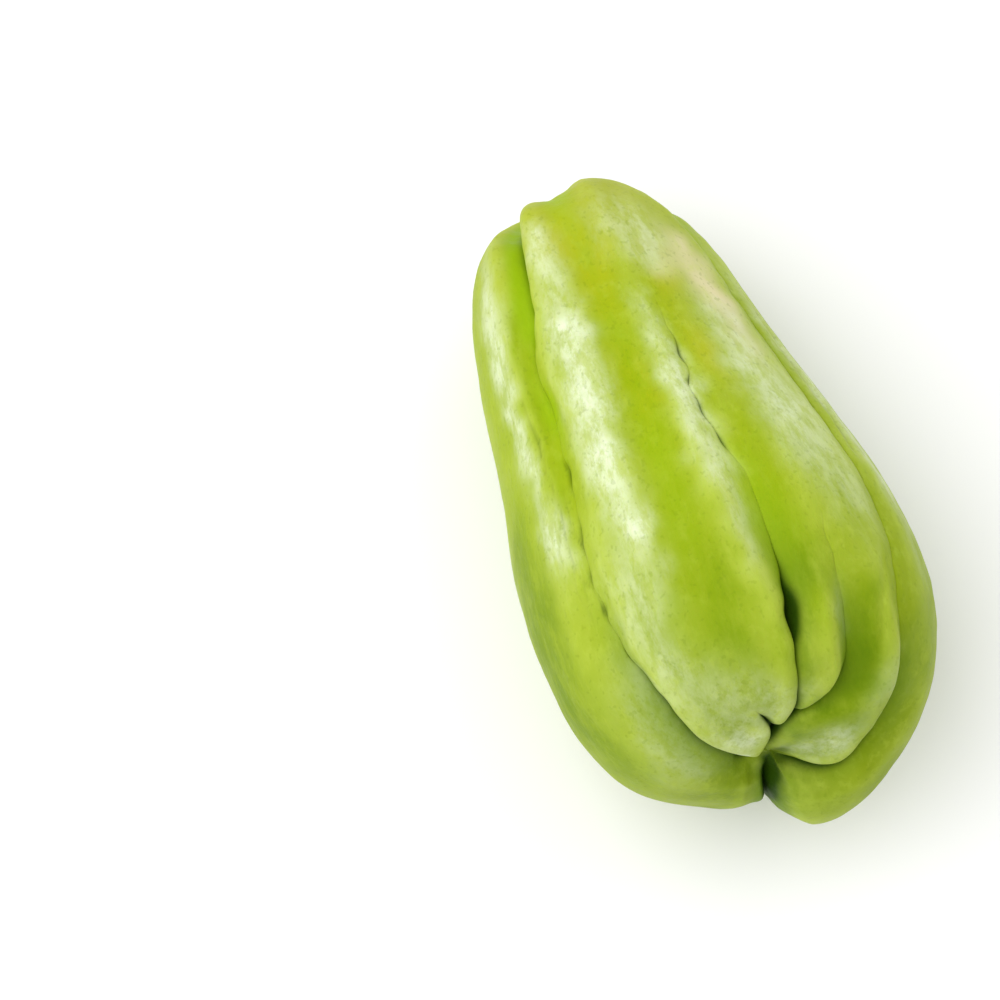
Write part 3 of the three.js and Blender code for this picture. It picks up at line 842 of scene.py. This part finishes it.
class Shading:
    """A material's node tree, with short ways to add the nodes used here."""

    def __init__(self, name):
        self.material = bpy.data.materials.new(name)
        self.material.use_nodes = True
        self.tree = self.material.node_tree
        self.shader = self.tree.nodes["Principled BSDF"]

    def node(self, kind, inputs, **settings):
        """A new node. An input is named, or numbered where its name isn't the only one of its kind."""
        made = self.tree.nodes.new(kind)
        for name, value in settings.items():
            setattr(made, name, value)
        for name, value in inputs.items():
            self.feed(made.inputs[name], value)
        return made

    def feed(self, socket, value):
        """Link a node's output to a socket, or set the socket's own value."""
        if isinstance(value, bpy.types.NodeSocket):
            self.tree.links.new(value, socket)
        else:
            socket.default_value = value

    def channel(self, name):
        """One of the mesh's colour channels."""
        return self.node("ShaderNodeAttribute", {}, attribute_name=name).outputs["Fac"]

    def pattern(self, stretch, size, detail, roughness):
        """Cloudy noise from 0 to 1, fixed to the fruit."""
        source = self.node("ShaderNodeTexCoord", {}).outputs["Object"]
        scale = (1 / MM, 1 / MM / stretch, 1 / MM)
        place = self.node("ShaderNodeMapping", {"Vector": source, "Scale": scale}).outputs["Vector"]
        inputs = {"Vector": place, "Scale": 1 / size, "Detail": detail, "Roughness": roughness}
        return self.node("ShaderNodeTexNoise", inputs).outputs["Fac"]

    def ramp(self, value, span, result=(0.0, 1.0)):
        """The value, eased: the ends of its span become the ends of the result."""
        inputs = {"Value": value}
        inputs["From Min"], inputs["From Max"] = span
        inputs["To Min"], inputs["To Max"] = result
        return self.node("ShaderNodeMapRange", inputs, interpolation_type="SMOOTHSTEP").outputs["Result"]

    def multiply(self, first, second):
        """The product of two values."""
        return self.node("ShaderNodeMath", {0: first, 1: second}, operation="MULTIPLY").outputs["Value"]

    def thinned(self, share, pattern, amount):
        """A patch's share, thinned by up to an amount where the pattern is low."""
        return self.multiply(share, self.ramp(pattern, THINNING_RANGE, (1 - amount, 1)))

    def blend(self, share, first, second):
        """The first colour where the share is 0, and the second where it is 1."""
        inputs = {"Factor": share, MIX_FIRST: first, MIX_SECOND: second}
        return self.node("ShaderNodeMix", inputs, data_type="RGBA").outputs[MIX_RESULT]

    def bump(self, pattern, height, under=None):
        """A normal on which the pattern stands out by a height in millimetres, over another normal."""
        inputs = {"Height": pattern, "Distance": height * MM}
        if under is not None:
            inputs["Normal"] = under
        return self.node("ShaderNodeBump", inputs).outputs["Normal"]


def marked_skin(skin, clouds, streaks, flecks, mottle):
    """Green skin with painted shade and painted highlights, pale wax, greener bands and the other marks."""
    # Painted shade: the skin darkens towards the blossom end.
    colour = skin.blend(skin.ramp(skin.channel("along"), GREEN_RANGE), SHADED_END_GREEN, GREEN)
    colour = skin.blend(skin.ramp(clouds, CLOUD_RANGE, (0, CLOUD_STRENGTH)), colour, LIGHT_GREEN_AND_HIGHLIGHT)
    # Painted highlight: the ridges are lighter.
    colour = skin.blend(skin.multiply(skin.channel("ridge_highlight"), RIDGE_HIGHLIGHT_STRENGTH), colour, LIGHT_GREEN_AND_HIGHLIGHT)
    yellow = skin.thinned(skin.channel("yellow"), clouds, YELLOW_THINNED_BY_CLOUDS)
    colour = skin.blend(yellow, colour, YELLOW)
    colour = skin.blend(skin.channel("beige"), colour, BEIGE)
    # Pale wax with a painted highlight in it.
    wax_and_highlight = skin.thinned(skin.channel("wax_and_highlight"), streaks, WAX_AND_HIGHLIGHT_THINNED_BY_STREAKS)
    wax_and_highlight = skin.thinned(wax_and_highlight, mottle, WAX_AND_HIGHLIGHT_THINNED_BY_MOTTLE)
    colour = skin.blend(wax_and_highlight, colour, WAX_AND_HIGHLIGHT)
    colour = skin.blend(skin.ramp(mottle, MOTTLE_RANGE, (0, MOTTLE_STRENGTH)), colour, LIGHT_GREEN_AND_HIGHLIGHT)
    # Greener bands, partly painted shade.
    greener_and_shade = skin.thinned(skin.channel("greener_and_shade"), streaks, GREENER_AND_SHADE_THINNED_BY_STREAKS)
    colour = skin.blend(greener_and_shade, colour, GREENER_AND_SHADE)
    # Painted shade in darker green.
    shade_and_dark_green = skin.thinned(skin.channel("shade_and_dark_green"), streaks, SHADE_AND_DARK_GREEN_THINNED_BY_STREAKS)
    colour = skin.blend(shade_and_dark_green, colour, SHADE_AND_DARK_GREEN)
    return skin.blend(skin.ramp(flecks, FLECK_RANGE, (0, FLECK_STRENGTH)), colour, FLECK)


def furrowed_skin(skin, colour, mottle):
    """The marked skin's colour, with the valleys, painted shade in them towards the blossom end and in the
    creases, and the scar at the stem end over it.
    """
    along = skin.channel("along")
    # Painted shade: the valleys towards the blossom end are dark green.
    hollow_colour_and_shade = skin.blend(skin.ramp(along, BRIGHT_HOLLOW_RANGE), SHADE_AND_DARK_GREEN, HOLLOW)
    hollow = skin.ramp(skin.channel("hollow"), HOLLOW_RANGE, (0, HOLLOW_STRENGTH))
    colour = skin.blend(hollow, colour, hollow_colour_and_shade)
    # Painted shade: the creases, finer lines and cleft are dark.
    crease = skin.ramp(skin.channel("crease"), CREASE_SHADE_RANGE, (0, CREASE_SHADE_STRENGTH))
    colour = skin.blend(crease, colour, CREASE_SHADE)
    scar = skin.thinned(skin.ramp(along, SCAR_RANGE), mottle, SCAR_THINNED_BY_MOTTLE)
    return skin.blend(scar, colour, SCAR)


def skin_material():
    """Waxy plant skin, coloured by the mesh's channels and by patterns."""
    skin = Shading("chayote_skin")
    clouds, streaks, flecks, mottle = [skin.pattern(**kind) for kind in (CLOUDS, STREAKS, FLECKS, MOTTLE)]
    colour = furrowed_skin(skin, marked_skin(skin, clouds, streaks, flecks, mottle), mottle)
    normal = skin.bump(flecks, FLECK_HEIGHT, skin.bump(mottle, MOTTLE_HEIGHT))
    skin.feed(skin.shader.inputs["Base Color"], colour)
    skin.feed(skin.shader.inputs["Roughness"], skin.ramp(mottle, ROUGHNESS_RANGE, ROUGHNESS))
    skin.feed(skin.shader.inputs["Normal"], normal)
    for name, value in SKIN_SETTINGS.items():
        skin.feed(skin.shader.inputs[name], value)
    return skin.material


def make_floor():
    """A plain pale floor."""
    bpy.ops.mesh.primitive_plane_add(size=FLOOR_SIDE)
    floor = bpy.context.object
    floor.name = "floor"
    shading = Shading("floor")
    shading.feed(shading.shader.inputs["Base Color"], FLOOR_COLOUR)
    shading.feed(shading.shader.inputs["Roughness"], FLOOR_ROUGHNESS)
    floor.data.materials.append(shading.material)


def add_light(name, position, sides, power):
    """A soft box that faces the fruit."""
    light = bpy.data.lights.new(name, "AREA")
    light.shape = "RECTANGLE"
    light.size, light.size_y = sides
    light.energy = power
    lamp = bpy.data.objects.new(name, light)
    lamp.location = position
    lamp.rotation_euler = (Vector(LIGHT_TARGET) - Vector(position)).to_track_quat("-Z", "Y").to_euler()
    bpy.context.scene.collection.objects.link(lamp)


def light_scene():
    """The soft boxes and an even white surround, which doesn't show in the skin's shine."""
    for name, light in LIGHTS.items():
        add_light(name, **light)
    world = bpy.data.worlds.new("studio")
    world.use_nodes = True
    world.node_tree.nodes["Background"].inputs["Color"].default_value = WORLD_COLOUR
    world.node_tree.nodes["Background"].inputs["Strength"].default_value = WORLD_STRENGTH
    world.cycles_visibility.glossy = False
    bpy.context.scene.world = world
    bpy.context.scene.view_settings.view_transform = "Standard"


def place_camera(target):
    """The camera looks past the fruit, which stands right of the picture's middle, as in the photograph."""
    azimuth, elevation = np.radians(CAMERA_AZIMUTH), np.radians(CAMERA_ELEVATION)
    level = np.cos(elevation)
    back = Vector((np.sin(azimuth) * level, -np.cos(azimuth) * level, np.sin(elevation)))
    right = Vector((np.cos(azimuth), np.sin(azimuth), 0))
    up = back.cross(right)
    pixels_per_radian = PIXELS_PER_MM * CAMERA_DISTANCE
    right_of_middle = (AXIS_MIDDLE_PIXEL[0] - PICTURE_MIDDLE[0]) / pixels_per_radian
    above_middle = (PICTURE_MIDDLE[1] - AXIS_MIDDLE_PIXEL[1]) / pixels_per_radian
    seen = Vector((right_of_middle, above_middle, -1))
    turn = seen.rotation_difference(Vector((0, 0, -1))).to_matrix()
    camera = bpy.data.cameras.new("camera")
    camera.sensor_width = SENSOR_WIDTH
    camera.lens = pixels_per_radian * SENSOR_WIDTH / PICTURE_SIDE
    holder = bpy.data.objects.new("camera", camera)
    facing = Matrix((right, up, back)).transposed() @ turn
    holder.matrix_world = Matrix.Translation(target + back * CAMERA_DISTANCE * MM) @ facing.to_4x4()
    bpy.context.scene.collection.objects.link(holder)
    bpy.context.scene.camera = holder


fruit, fruit_offset = make_fruit()
fruit.data.materials.append(skin_material())
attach(fruit, "root")
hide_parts("chayote")
make_floor()
light_scene()
place_camera(Vector(lie_down(np.array((0, AXIS_MIDDLE, 0)), fruit_offset)) * MM)
